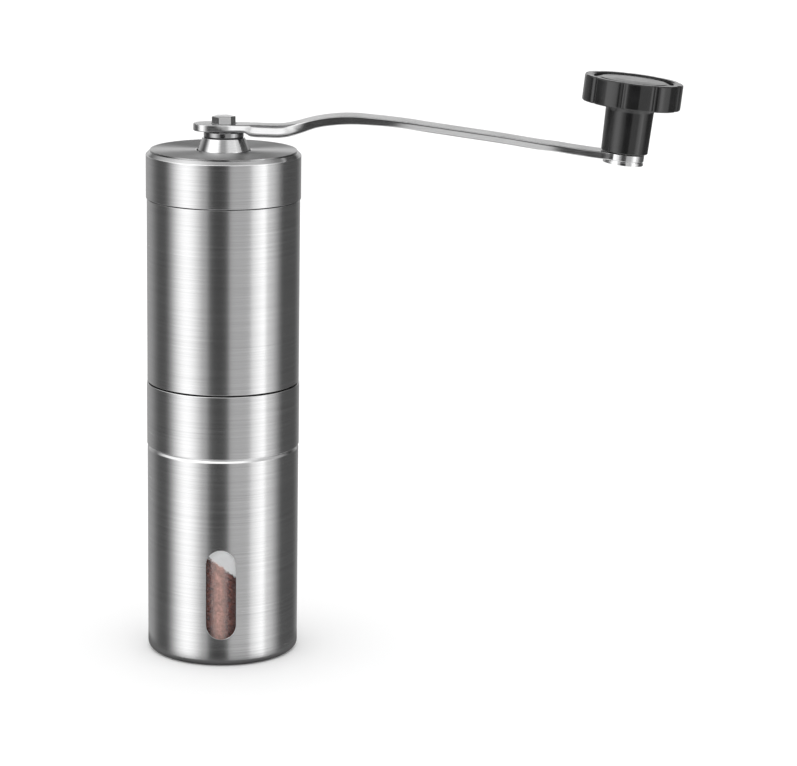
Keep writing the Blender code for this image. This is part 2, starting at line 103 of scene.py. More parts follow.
HEAP_X, HEAP_Y = -7.5, -19.0   # where the heap of ground coffee is highest
HEAP_Z = 40.0
HEAP_SLOPE = 0.66
HEAP_LOW = 20.0                # the level that the heap runs out to
PAINTED_GLOSS_X, PAINTED_GLOSS_REACH = 0.3, 3.7  # the painted highlight down the window's middle on the cup: its middle and reach along X
HEX_TURN = math.radians(10.0)  # the stud's flats, about the shaft
PIN_BORE_R = 2.9               # the knob pin's hole in the arm, the washer and the grip
SHAFT_BORE_R = 3.3             # the holes of what sits on the shaft


# ---------------------------------------------------------------- mesh helpers

def new_object(name, data):
    obj = bpy.data.objects.new(name, data)
    bpy.context.scene.collection.objects.link(obj)
    return obj


def piece(name, mesh, body, materials, replaced=()):
    """Turns a finished mesh into a piece that rides on a body."""
    obj = new_object(name, mesh)
    for mat in materials:
        mesh.materials.append(mat)
    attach(obj, body)
    if replaced:
        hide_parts(*replaced)
    return obj


def finish_mesh(name, bm, sharp=32.0, place=None):
    """Millimetre bmesh to a smooth-shaded mesh in metres."""
    if place is not None:
        bm.transform(place)
    bm.transform(Matrix.Scale(MM, 4))
    mesh = bpy.data.meshes.new(name)
    bm.to_mesh(mesh)
    bm.free()
    mesh.shade_smooth()
    mesh.set_sharp_from_angle(angle=math.radians(sharp))
    return mesh


def rounded(corners, steps=4, ring=True):
    """A profile from (r, z, fillet) corners: each becomes an arc with a support point on both sides."""
    points = []
    count = len(corners)
    for i, (r, z, fillet) in enumerate(corners):
        here = Vector((r, z))
        if fillet <= 0.0 or (not ring and i in (0, count - 1)):
            points.append((r, z))
            continue
        back = Vector(corners[i - 1][:2]) - here
        ahead = Vector(corners[(i + 1) % count][:2]) - here
        half = 0.5 * back.angle(ahead)
        reach = fillet / math.tan(half)
        limit = 0.45 * min(back.length, ahead.length)
        if reach > limit:
            reach = limit
            fillet = reach * math.tan(half)
        back.normalize()
        ahead.normalize()
        middle = here + (back + ahead).normalized() * (fillet / math.sin(half))
        support = min(0.06, 0.1 * reach + 0.01)
        first = here + back * reach
        last = here + ahead * reach
        points.append(tuple(first + back * support))
        start = first - middle
        turn = start.angle_signed(last - middle)
        for k in range(steps + 1):
            spoke = start.copy()
            spoke.rotate(Matrix.Rotation(-turn * k / steps, 2))
            points.append(tuple(middle + spoke))
        points.append(tuple(last + ahead * support))
    return points


def lathe_bmesh(profile, segments, ring=True, lobe=None):
    """Turns (r, z) points round Z. A profile runs down its outer side; lobe(r, z, angle) may scale r."""
    bm = bmesh.new()
    rows = []
    for r, z in profile:
        if r < 1e-6:
            rows.append([bm.verts.new((0.0, 0.0, z))])
            continue
        row = []
        for k in range(segments):
            a = 2.0 * math.pi * k / segments
            s = r * (lobe(r, z, a) if lobe else 1.0)
            row.append(bm.verts.new((s * math.cos(a), s * math.sin(a), z)))
        rows.append(row)
    join_rows(bm, rows + rows[:1] if ring else rows)
    return bm


def join_rows(bm, rows):
    """Faces between rows of vertices round Z, down their outer side; a row of one vertex is a pole."""
    for upper, lower in zip(rows, rows[1:]):
        count = max(len(upper), len(lower))
        for k in range(count):
            n = (k + 1) % count
            if len(upper) == 1:
                bm.faces.new((upper[0], lower[k], lower[n]))
            elif len(lower) == 1:
                bm.faces.new((upper[k], lower[0], upper[n]))
            else:
                bm.faces.new((upper[k], lower[k], lower[n], upper[n]))


def turned(name, corners, body, materials, replaced=(), segments=MEDIUM, ring=True, steps=4,
           place=None, pick=None, lobe=None):
    """A turned piece; pick(r, z) gives a face's material index from its middle's radius and height."""
    bm = lathe_bmesh(rounded(corners, steps, ring), segments, ring, lobe)
    if pick:
        for face in bm.faces:
            middle = face.calc_center_median()
            face.material_index = pick(math.hypot(middle.x, middle.y), middle.z)
    mesh = finish_mesh(name, bm, place=place)
    return piece(name, mesh, body, materials, replaced)


def section(outer, inner, low, high, *fillets):
    """The corners of a plain ring, from its outside top: one fillet for all, or one for each."""
    corners = [(outer, high), (outer, low), (inner, low), (inner, high)]
    return [(r, z, fillet) for (r, z), fillet in zip(corners, fillets if len(fillets) == 4 else 4 * fillets)]


def flat_outline(outlines, low, high, edge=0.0, edge_steps=3):
    """A flat plate with holes and rounded edges, from closed 2D outlines, as a millimetre bmesh."""
    curve = bpy.data.curves.new("outline", 'CURVE')
    curve.dimensions = '2D'
    curve.fill_mode = 'BOTH'
    curve.extrude = 0.5 * (high - low) - edge
    curve.bevel_depth = edge
    curve.bevel_resolution = edge_steps
    curve.offset = -edge
    for outline in outlines:
        spline = curve.splines.new('POLY')
        spline.points.add(len(outline) - 1)
        for point, (x, y) in zip(spline.points, outline):
            point.co = (x, y, 0.0, 1.0)
        spline.use_cyclic_u = True
    bm = evaluated(new_object("outline", curve))
    bmesh.ops.recalc_face_normals(bm, faces=bm.faces)
    bmesh.ops.translate(bm, verts=bm.verts, vec=(0.0, 0.0, 0.5 * (low + high)))
    return bm


def evaluated(obj):
    """An object's shape with its modifiers applied, double vertices merged and no UV maps, which nothing here
    uses; the object is removed."""
    bpy.context.view_layer.update()
    graph = bpy.context.evaluated_depsgraph_get()
    mesh = bpy.data.meshes.new_from_object(obj.evaluated_get(graph))
    bpy.data.objects.remove(obj, do_unlink=True)
    while mesh.uv_layers:
        mesh.uv_layers.remove(mesh.uv_layers[0])
    bm = bmesh.new()
    bm.from_mesh(mesh)
    bpy.data.meshes.remove(mesh)
    bmesh.ops.remove_doubles(bm, verts=bm.verts, dist=1e-4)
    return bm


def loose_object(name, bm):
    """An object for a modifier to work on, or a part of the stage."""
    mesh = bpy.data.meshes.new(name)
    bm.to_mesh(mesh)
    bm.free()
    return new_object(name, mesh)


def arc(radius, angles, x=0.0):
    """Points on a circle round (x, 0)."""
    return [(x + radius * math.cos(a), radius * math.sin(a)) for a in angles]


def polygon(sides, radius, turn=0.0, x=0.0):
    return arc(radius, [turn + 2 * math.pi * i / sides for i in range(sides)], x)


def wavy_circle(radius, depth, waves, steps):
    """A circle whose radius swings by depth, waves times round."""
    points = []
    for i in range(steps):
        a = 2 * math.pi * i / steps
        r = radius + depth * math.cos(waves * a)
        points.append((r * math.cos(a), r * math.sin(a)))
    return points


def ease(x, start, end):
    """0 before start, 1 after end, and level at both."""
    t = min(1.0, max(0.0, (x - start) / (end - start)))
    return t * t * (3.0 - 2.0 * t)


def stadium(width, height, steps=24):
    """An upright outline with round ends."""
    r = 0.5 * width
    straight = 0.5 * height - r
    top = [(x, straight + y) for x, y in arc(r, [math.pi * i / steps for i in range(steps + 1)])]
    return top + [(-x, -y) for x, y in top]


# ---------------------------------------------------------------- material helpers

class Nodes:
    """A short way to write a node tree: n.add(type, inputs, settings) returns the node."""

    def __init__(self, owner):
        self.tree = owner.node_tree
        self.shader = self.tree.nodes.get("Principled BSDF")

    def add(self, kind, inputs=None, **settings):
        node = self.tree.nodes.new(kind)
        for key, value in settings.items():
            setattr(node, key, value)
        for key, value in (inputs or {}).items():
            self.put(node.inputs[key], value)
        return node

    def put(self, socket, value):
        if isinstance(value, bpy.types.NodeSocket):
            self.tree.links.new(value, socket)
        else:
            socket.default_value = value

    def look(self, **values):
        """Sets or feeds the shader's own sockets; an underscore stands for a space."""
        for key, value in values.items():
            self.put(self.shader.inputs[key.replace("_", " ")], value)

    def coords(self):
        return self.add("ShaderNodeTexCoord").outputs["Object"]

    def parts(self, vector):
        """The X, Y and Z of a vector."""
        return self.add("ShaderNodeSeparateXYZ", {0: vector}).outputs

    def math(self, operation, a, b=0.0, c=0.0):
        node = self.add("ShaderNodeMath", operation=operation)
        for socket, value in zip(node.inputs, (a, b, c)):
            self.put(socket, value)
        return node.outputs[0]

    def plus(self, a, b):
        return self.math('ADD', a, b)

    def times(self, a, b):
        return self.math('MULTIPLY', a, b)

    def apart(self, a, b):
        """How far two values are apart."""
        return self.math('ABSOLUTE', self.math('SUBTRACT', a, b))

    def ramp(self, value, stops):
        """A colour ramp from (position, (r, g, b)) stops."""
        node = self.add("ShaderNodeValToRGB", {"Fac": value})
        elements = node.color_ramp.elements
        while len(elements) < len(stops):
            elements.new(1.0)
        for element, (position, color) in zip(elements, stops):
            element.position = position
            element.color = (*color, 1.0)
        return node.outputs["Color"]

    def noise(self, vector, scale, detail=2.0, roughness=0.5):
        node = self.add("ShaderNodeTexNoise", {"Vector": vector, "Scale": scale, "Detail": detail,
                                               "Roughness": roughness})
        return node.outputs["Fac"]

    def scaled(self, vector, scale):
        return self.add("ShaderNodeVectorMath", {0: vector, 1: scale}, operation='MULTIPLY').outputs[0]

    def map(self, value, start, end, low, high, kind='LINEAR'):
        """Maps start..end to low..high and stays there outside; kind SMOOTHSTEP eases both ends."""
        node = self.add("ShaderNodeMapRange", {"Value": value, "From Min": start, "From Max": end,
                                               "To Min": low, "To Max": high}, interpolation_type=kind)
        return node.outputs[0]

    def spread(self, value, low, high):
        """Maps 0.3..0.7, where noise mostly lies, to low..high."""
        return self.map(value, 0.3, 0.7, low, high)

    def mix(self, factor, a, b):
        """Colour a where factor is 0, colour b where it is 1."""
        node = self.add("ShaderNodeMix", {"Factor": factor, "A": a, "B": b}, data_type='RGBA')
        return node.outputs["Result"]

    def tint(self, noise, low, high):
        return self.mix(self.spread(noise, 0.0, 1.0), low, high)

    def bump(self, height, distance, strength):
        node = self.add("ShaderNodeBump", {"Height": height, "Distance": distance, "Strength": strength})
        self.look(Normal=node.outputs[0])

    def brush_round(self, axis):
        """Turns the brushing round the object's axis."""
        self.look(Tangent=self.add("ShaderNodeTangent", direction_type='RADIAL', axis=axis).outputs[0])


def new_material(name, **values):
    """A material and its node writer, with uniform values set on the shader's own sockets."""
    mat = bpy.data.materials.new(name)
    mat.use_nodes = True
    n = Nodes(mat)
    n.look(**values)
    return mat, n


def grey(tone, share, blue=0.005):
    """A share of the tone, a trace cooler in blue."""
    return (tone * share, tone * share, tone * (share + blue), 1.0)


def brushed_steel(name, tone, roughness, grain=1.0, anisotropy=0.7):
    """Steel brushed round the Z axis: fine lines across the height of a tube and round a flat top."""
    mat, n = new_material(name, Metallic=1.0, Anisotropic=anisotropy, Anisotropic_Rotation=0.25)
    coords = n.coords()
    x, y, z = n.parts(coords)
    flat = n.scaled(coords, (1.0, 1.0, 0.0))
    radius = n.add("ShaderNodeVectorMath", {0: flat}, operation='LENGTH').outputs["Value"]
    across = n.math('SUBTRACT', z, radius)
    line = n.add("ShaderNodeCombineXYZ", {0: x, 1: y, 2: across}).outputs[0]
    fine = n.noise(n.scaled(line, (45.0, 45.0, 5200.0)), 1.0, 2.0, 0.6)
    coarse = n.noise(n.scaled(line, (14.0, 14.0, 1300.0)), 1.0, 2.0, 0.55)
    cloud = n.noise(coords, 55.0)
    both = n.plus(n.times(fine, 0.6), n.times(coarse, 0.4))
    n.look(Base_Color=n.tint(both, grey(tone, 0.905), grey(tone, 1.095)),
           Roughness=n.plus(n.spread(both, roughness - 0.02 * grain, roughness + 0.02 * grain),
                            n.spread(cloud, -0.01, 0.01)))
    n.bump(both, 0.000004 * grain, 0.5)
    n.brush_round('Z')
    return mat


def polished_steel(name, tone, roughness, streak, brushing=0.0):
    """Bright steel with faint polishing marks and soft handling marks; brushing runs along X."""
    mat, n = new_material(name, Metallic=1.0, Anisotropic=brushing, Anisotropic_Rotation=0.25)
    if brushing:
        n.brush_round('Y')
    coords = n.coords()
    marks = n.noise(n.scaled(coords, streak), 1.0, 2.0, 0.6)
    cloud = n.noise(coords, 90.0, 3.0, 0.55)
    n.look(Base_Color=n.tint(marks, grey(tone, 0.94), grey(tone, 1.05)),
           Roughness=n.plus(n.spread(marks, roughness - 0.03, roughness + 0.03),
                            n.spread(cloud, -0.02, 0.03)))
    n.bump(marks, 0.000004, 0.5)
    return mat


def black_plastic(name, tone, roughness, peel=0.00001):
    """Moulded black plastic: a faint orange peel and a slightly uneven gloss."""
    mat, n = new_material(name, IOR=1.58)
    coords = n.coords()
    skin = n.noise(coords, 900.0)
    cloud = n.noise(coords, 140.0, 3.0, 0.6)
    n.look(Base_Color=n.tint(cloud, grey(tone, 0.8, 0.0), grey(tone, 1.4, 0.05)),
           Roughness=n.plus(n.spread(cloud, roughness - 0.03, roughness + 0.05), n.spread(skin, -0.02, 0.02)))
    n.bump(skin, peel, 0.5)
    return mat


def clear_plastic(name):
    """The window's pane: clear, with a slightly uneven moulded surface."""
    mat, n = new_material(name, Transmission_Weight=1.0, IOR=1.25, Base_Color=(0.97, 0.975, 0.98, 1.0))
    cloud = n.noise(n.coords(), 160.0)
    n.look(Roughness=n.spread(cloud, 0.02, 0.06))
    n.bump(cloud, 0.00001, 0.3)
    return mat


def frosted_cup(name):
    """The grounds cup: clear where coffee lies on its wall, with a pale pinkish painted highlight down the
    middle of the window that stands in for the pane's gloss reflection, and frosted above the heap."""
    mat, n = new_material(name, IOR=1.12)
    coords = n.coords()
    x, _, z = n.parts(coords)
    ragged = n.noise(coords, 900.0, 3.0, 0.6)
    # The heap's edge on the cup's front wall: a line in X and Z that falls to the right
    edge_fall, edge_height = 1.1 * HEAP_SLOPE, HEAP_Z - 5.9
    line = n.math('MULTIPLY_ADD', x, -edge_fall, edge_height * MM)
    over = n.math('SUBTRACT', z, n.plus(line, n.spread(ragged, -0.6 * MM, 0.6 * MM)))
    bare = n.map(over, -0.3 * MM, 0.7 * MM, 0.0, 1.0)
    # A painted highlight: a pale pinkish band down the window's middle that stands in for the pane's gloss
    # reflection
    painted_gloss = n.map(n.apart(x, PAINTED_GLOSS_X * MM), 0.2 * MM, PAINTED_GLOSS_REACH * MM, 1.0, 0.0, 'SMOOTHSTEP')
    painted_gloss = n.times(painted_gloss, n.spread(ragged, 0.28, 0.66))
    painted_gloss = n.times(painted_gloss, n.math('SUBTRACT', 1.0, bare))
    n.look(Transmission_Weight=n.math('SUBTRACT', n.math('MULTIPLY_ADD', bare, -0.95, 1.0), painted_gloss),
           Roughness=n.math('MULTIPLY_ADD', bare, 0.4, 0.04))
    plain = n.tint(ragged, (0.95, 0.945, 0.94, 1.0), (0.99, 0.99, 0.99, 1.0))
    n.look(Base_Color=n.mix(n.times(painted_gloss, 2.2), plain, (1.0, 0.68, 0.60, 1.0)))
    return mat


def satin(name, color, roughness, grain_scale=700.0, grain=0.00001, variation=0.12, metallic=0.0):
    """A satin moulded, fired or machined surface with fine grain and slight colour variation."""
    mat, n = new_material(name, Metallic=metallic)
    coords = n.coords()
    fine = n.noise(coords, grain_scale, 3.0, 0.6)
    cloud = n.noise(coords, 120.0)
    low = tuple(c * (1.0 - variation) for c in color) + (1.0,)
    high = tuple(min(1.0, c * (1.0 + variation)) for c in color) + (1.0,)
    n.look(Base_Color=n.tint(cloud, low, high), Roughness=n.spread(fine, roughness - 0.05, roughness + 0.08))
    n.bump(fine, grain, 0.6)
    return mat


def coffee(name):
    """Ground coffee: reddish brown, with darker and paler specks, and painted shade towards the window's
    sides, where the shell's wall would shade it.
    """
    mat, n = new_material(name)
    coords = n.coords()
    cells = n.add("ShaderNodeTexVoronoi", {"Vector": coords, "Scale": 1500.0, "Randomness": 1.0})
    tint = n.add("ShaderNodeSeparateColor", {0: cells.outputs["Color"]}).outputs[0]
    patches = n.noise(coords, 260.0, 3.0, 0.6)
    grains = n.ramp(tint, [(0.0, (0.10, 0.014, 0.007)), (0.45, (0.36, 0.065, 0.036)),
                           (0.8, (0.58, 0.16, 0.10)), (1.0, (0.78, 0.36, 0.27))])
    dark = n.mix(0.6, grains, (0.11, 0.018, 0.010, 1.0))
    mixed = n.tint(patches, dark, grains)
    # Painted shade: the coffee darkens away from the window's middle, where the shell's wall would shade it
    painted_wall_shade = n.map(n.apart(n.parts(coords)[0], PAINTED_GLOSS_X * MM), 1.8 * MM, 4.4 * MM, 0.0, 0.7)
    n.look(Base_Color=n.mix(painted_wall_shade, mixed, (0.085, 0.014, 0.008, 1.0)), Roughness=n.spread(patches, 0.55, 0.75))
    n.bump(cells.outputs["Distance"], 0.0003, 0.8)
    return mat


# ---------------------------------------------------------------- camera, floor and light

CAMERA_AT = (0.0580, -0.939, 0.3059)
LOOK_DOWN = math.radians(12.89)
ROLL = math.radians(0.9)
LENS = 131.5
FLOOR_HALF = 6.0
FLOOR_Z = -0.0001              # clear of the base, so that the two don't touch


def build_camera():
    """A long lens a little above the grinder, looking down at it, with the body left of the middle."""
    data = bpy.data.cameras.new("camera")
    data.sensor_width = 36.0
    data.lens = LENS
    data.clip_start = 0.05
    data.clip_end = 60.0
    cam = new_object("camera", data)
    look = Matrix.Rotation(0.5 * math.pi - LOOK_DOWN, 4, 'X') @ Matrix.Rotation(ROLL, 4, 'Z')
    cam.matrix_world = Matrix.Translation(CAMERA_AT) @ look
    bpy.context.scene.camera = cam


def paper_sheet(name, bm, height, paper, albedo):
    """A level sheet of matt paper for the stage."""
    sheet = loose_object(name, bm)
    sheet.location.z = height
    mat, _ = new_material(paper, Roughness=0.9, Base_Color=(albedo, albedo, albedo, 1.0))
    sheet.data.materials.append(mat)
    return sheet


def build_floor():
    bm = bmesh.new()
    bmesh.ops.create_grid(bm, x_segments=1, y_segments=1, size=FLOOR_HALF)
    floor = paper_sheet("floor", bm, FLOOR_Z, "floor_paper", 0.97)
    floor.visible_glossy = False

    # A dark sheet close to the base, which only the base's rounded edge mirrors: painted shade standing in
    # for the floor's contact shadow
    bm = bmesh.new()
    bmesh.ops.create_circle(bm, cap_ends=True, segments=MEDIUM, radius=32.0 * MM)
    near = paper_sheet("floor_near", bm, 0.5 * FLOOR_Z, "floor_painted_shade", 0.16)
    near.visible_camera = False
    near.visible_diffuse = False
    near.visible_shadow = False


# The studio that the metal mirrors: soft upright cards on a dim surround. Each card has an azimuth from the
# -Y side (degrees, positive towards +X), half width, width of the soft edge, and brightness.
SURROUND = 0.107
CARDS = [
    (-53.8, 0.5, 40.0, 1.72),
    (58.2, 10.0, 5.0, 1.1),
    (75.0, 0.5, 30.0, 0.89),
    (28.9, 14.4, 5.0, 0.53),
    (-22.5, 0.5, 5.0, 0.21),
    (-158.0, 16.0, 36.0, 0.33),
    (170.0, 10.0, 22.0, 0.12),
    (-3.0, 3.0, 13.0, -0.06),
]
BACK_CARD = (180.0, 20.0, 24.0, 0.32)  # only just above the horizon, for the level faces
BACK_GAP = (174.0, 20.0, 96.0, 0.88)   # the dark gap over it
ZENITH = 0.40                          # the ceiling, and what its three lamps add to it
LEFT_BOX = 1.1
RIGHT_BOX = 0.45
FRONT_BOX = 1.3
UNDERSIDE = 0.85                       # the table, seen from above
SOFT_LIGHT = 1.18                      # what everything but the mirroring sees


def build_world():
    world = bpy.data.worlds.new("studio")
    bpy.context.scene.world = world
    world.use_nodes = True
    n = Nodes(world)
    background = world.node_tree.nodes.get("Background") or n.add("ShaderNodeBackground")
    x, y, z = n.parts(n.add("ShaderNodeTexCoord").outputs["Generated"])
    azimuth = n.times(n.math('ARCTAN2', x, n.times(y, -1.0)), 180.0 / math.pi)

    def smooth(value, start, end, low, high):
        return n.map(value, start, end, low, high, 'SMOOTHSTEP')

    def band(start, full, end, gone):
        """1 between two heights, and 0 outside them."""
        return n.times(smooth(z, start, full, 0.0, 1.0), smooth(z, end, gone, 1.0, 0.0))

    def card(middle, half, soft, strength):
        away = n.math('ABSOLUTE', n.math('WRAP', n.math('SUBTRACT', azimuth, middle), 180.0, -180.0))
        return smooth(away, half, half + soft, strength, 0.0)

    def fade(mask, a, b):
        """a where mask is 0, b where it is 1."""
        kept = n.times(a, n.math('SUBTRACT', 1.0, mask))
        return n.plus(kept, n.times(b, mask))

    level = SURROUND
    for values in CARDS:
        level = n.plus(level, card(*values))
    level = n.plus(level, n.times(band(0.02, 0.08, 0.20, 0.32), card(*BACK_CARD)))
    overhead = n.plus(smooth(x, -0.5, -0.1, LEFT_BOX, 0.0), smooth(x, 0.1, 0.5, 0.0, RIGHT_BOX))
    front = n.times(smooth(z, 0.7, 0.82, 0.0, 1.0), smooth(y, -0.55, -0.2, FRONT_BOX, 0.0))
    overhead = n.plus(n.plus(overhead, front), ZENITH)
    mirrored = fade(smooth(z, 0.28, 0.5, 0.0, 1.0), level, overhead)
    gap = n.times(band(0.22, 0.34, 0.7, 0.9), card(*BACK_GAP))
    mirrored = n.times(mirrored, n.math('SUBTRACT', 1.0, gap))
    below = n.times(n.math('MULTIPLY_ADD', level, 0.55, 0.9), UNDERSIDE)
    mirrored = fade(smooth(z, -0.62, -0.45, 1.0, 0.0), mirrored, below)
    path = n.add("ShaderNodeLightPath")
    n.put(background.inputs["Color"], fade(path.outputs["Is Glossy Ray"], SOFT_LIGHT, mirrored))
    out = world.node_tree.nodes.get("World Output") or n.add("ShaderNodeOutputWorld")
    world.node_tree.links.new(background.outputs[0], out.inputs["Surface"])
    bpy.context.scene.view_settings.view_transform = 'Standard'


# ---------------------------------------------------------------- catch cup

def build_catch_cup():
    build_cup_shell()
    build_base_disc()
    cup_low, cup_high = levels("grounds_cup")
    outer = outer_radius("grounds_cup")
    wall = 1.6
    inside = outer - wall
    floor_z = cup_low + wall
    turned("inner_cup",
           [(0.0, floor_z, 0), (inside, floor_z, 1.4), (inside, cup_high, 0.5),
            (outer, cup_high, 0.5), (outer, cup_low, 2.2), (0.0, cup_low, 0)],
           "catch_cup", [FROSTED], ["grounds_cup"], ring=False, steps=6)
    turned("seal_band", section(23.8, 22.4, *levels("cup_seal"), 0.3), "catch_cup", [RUBBERY], ["cup_seal"])
    build_window()
    build_grounds(inside, floor_z)


LIP_R = 20.6                   # the opening in the shell's bottom, which the base disc fills


def build_cup_shell():
    """The lower tube: a polished bevel round its top, a turned-in bottom, and the window's slot cut out."""
    low, high = SHELL_LOW, SHELL_HIGH
    corner = 2.1
    bevel_high, bevel_low = high + 0.12, high - 1.0
    inner = BODY_R - WALL
    profile = rounded([(BODY_R - 0.75, bevel_high, 0.1), (BODY_R, bevel_low, 0.4), (BODY_R, low, corner),
                       (LIP_R, low, 0.15), (LIP_R, low + WALL, 0.15),
                       (inner, low + WALL, corner - WALL), (inner, bevel_high, 0.04)], 6)
    shell = loose_object("shell_blank", lathe_bmesh(profile, ROUND))
    bar = flat_outline([stadium(SLOT_WIDTH, SLOT_HEIGHT)], 20.0, 30.0)
    bar.transform(Matrix.Rotation(SLOT_TURN, 4, 'Z') @ Matrix.Translation((0.0, 0.0, SLOT_Z))
                  @ Matrix.Rotation(math.radians(90), 4, 'X'))
    bar_object = loose_object("slot_bar", bar)
    cut = shell.modifiers.new("slot", 'BOOLEAN')
    cut.operation = 'DIFFERENCE'
    cut.solver = 'EXACT'
    cut.object = bar_object
    bm = evaluated(shell)
    bpy.data.objects.remove(bar_object, do_unlink=True)

    def by_slot(point, margin):
        return abs(point.z - SLOT_Z) < 0.5 * SLOT_HEIGHT + margin

    rim = [edge for edge in bm.edges if edge.calc_face_angle(0.0) > math.radians(60)
           and all(by_slot(v.co, 0.2) and v.co.y < 0.0 for v in edge.verts)]
    bmesh.ops.bevel(bm, geom=rim, offset=0.16, segments=3, affect='EDGES', profile=0.6, clamp_overlap=False)
    for face in bm.faces:
        middle = face.calc_center_median()
        outward = abs(face.normal.dot(Vector((middle.x, middle.y, 0.0)).normalized()))
        slot_rim = by_slot(middle, 0.01) and middle.y < -20.0 and outward < 0.97
        face.material_index = 1 if middle.z > high - 1.1 or slot_rim else 0
    mesh = finish_mesh("cup_shell", bm)
    smooth_walls(mesh, (BODY_R, inner))
    piece("cup_shell", mesh, "catch_cup", [STEEL, POLISHED], ["lower_shell"])


def build_base_disc():
    """The disc in the shell's bottom, with two shallow grooves turned in its underside."""
    top = levels("base_cap")[1]
    ledge = 1.1

    def groove(outer, inner):
        return [(outer, 0.0, 0.15), (outer - 0.3, 0.35, 0.1), (inner + 0.3, 0.35, 0.1), (inner, 0.0, 0.15)]

    turned("base_disc",
           [(0.0, top, 0), (22.0, top, 0.2), (22.0, ledge, 0.1), (LIP_R - GAP, ledge, 0.1),
            (LIP_R - GAP, 0.0, 0.3)] + groove(17.5, 15.5) + groove(9.0, 7.0) + [(0.0, 0.0, 0)],
           "catch_cup", [RUBBERY], ["base_cap"], ring=False)


def smooth_walls(mesh, radii):
    """Gives the corners of a tube's inner and outer walls their true radial normals."""
    mesh.update()
    normals = [Vector(corner.vector) for corner in mesh.corner_normals]
    for face in mesh.polygons:
        flat = Vector((face.center.x, face.center.y, 0.0)).normalized()
        facing = face.normal.dot(flat)
        if abs(facing) < 0.995:
            continue
        for index in face.loop_indices:
            point = mesh.vertices[mesh.loops[index].vertex_index].co
            radial = Vector((point.x, point.y, 0.0))
            if min(abs(radial.length / MM - r) for r in radii) < 0.02:
                normals[index] = radial.normalized() * math.copysign(1.0, facing)
    mesh.normals_split_custom_set(normals)


def build_window():
    """The clear pane: a curved plate with the slot's outline, crowned a little towards its middle."""
    width = SLOT_WIDTH - 2 * GAP
    height = SLOT_HEIGHT - 2 * GAP
    end = 0.5 * width
    outer = -PANE_LOW.y
    thickness = 0.62
    border, drop = 0.5, 0.18   # the front falls by drop over the last border
    rows, columns = 60, 20
    bm = bmesh.new()

    def station(k):
        t = math.cos(math.pi * k / rows)
        return 0.5 * height * math.copysign(abs(t) ** 0.8, t)

    def half_width(z):
        past = abs(z) - (0.5 * height - end)
        return end if past <= 0.0 else math.sqrt(max(0.0, end * end - past * past))

    sheets = []
    for depth in (0.0, thickness):
        grid = []
        for k in range(rows + 1):
            z = station(k)
            half = max(half_width(z), 0.02)
            row = []
            for j in range(columns + 1):
                u = -math.cos(math.pi * j / columns)
                edge = max(0.0, 1.0 - (1.0 - abs(u)) * half / border)
                rim = max(0.0, 1.0 - (0.5 * height - abs(z)) / border)
                r = outer - (depth if depth else drop * max(edge, rim) ** 2)
                a = SLOT_TURN + u * half / outer
                row.append(bm.verts.new((r * math.sin(a), -r * math.cos(a), SLOT_Z + z)))
            grid.append(row)
        sheets.append(grid)
    front, back = sheets
    for k in range(rows):
        for j in range(columns):
            bm.faces.new((front[k][j], front[k + 1][j], front[k + 1][j + 1], front[k][j + 1]))
            bm.faces.new((back[k][j], back[k][j + 1], back[k + 1][j + 1], back[k + 1][j]))
    loop = ([(0, j) for j in range(columns + 1)] + [(k, columns) for k in range(1, rows + 1)]
            + [(rows, j) for j in range(columns - 1, -1, -1)] + [(k, 0) for k in range(rows - 1, 0, -1)])
    for (k1, j1), (k2, j2) in zip(loop, loop[1:] + loop[:1]):
        bm.faces.new((front[k1][j1], front[k2][j2], back[k2][j2], back[k1][j1]))
    bmesh.ops.recalc_face_normals(bm, faces=bm.faces)
    mesh = finish_mesh("window_pane", bm, 50.0)
    piece("window_pane", mesh, "catch_cup", [CLEAR], ["window_lens"])


def heap_height(x, y):
    """The heap's surface: a cone that runs out softly to its lowest level, and a little rough."""
    fall = HEAP_SLOPE * math.hypot(x - HEAP_X, y - HEAP_Y)
    level = HEAP_Z - HEAP_LOW - fall
    soft = 3.0
    level = soft * math.log1p(math.exp(level / soft))
    rough = 0.5 * noise.noise(Vector((x, y, 0.0)) * 0.45) + 0.25 * noise.noise(Vector((x, y, 7.0)) * 1.3)
    return HEAP_LOW + level + rough


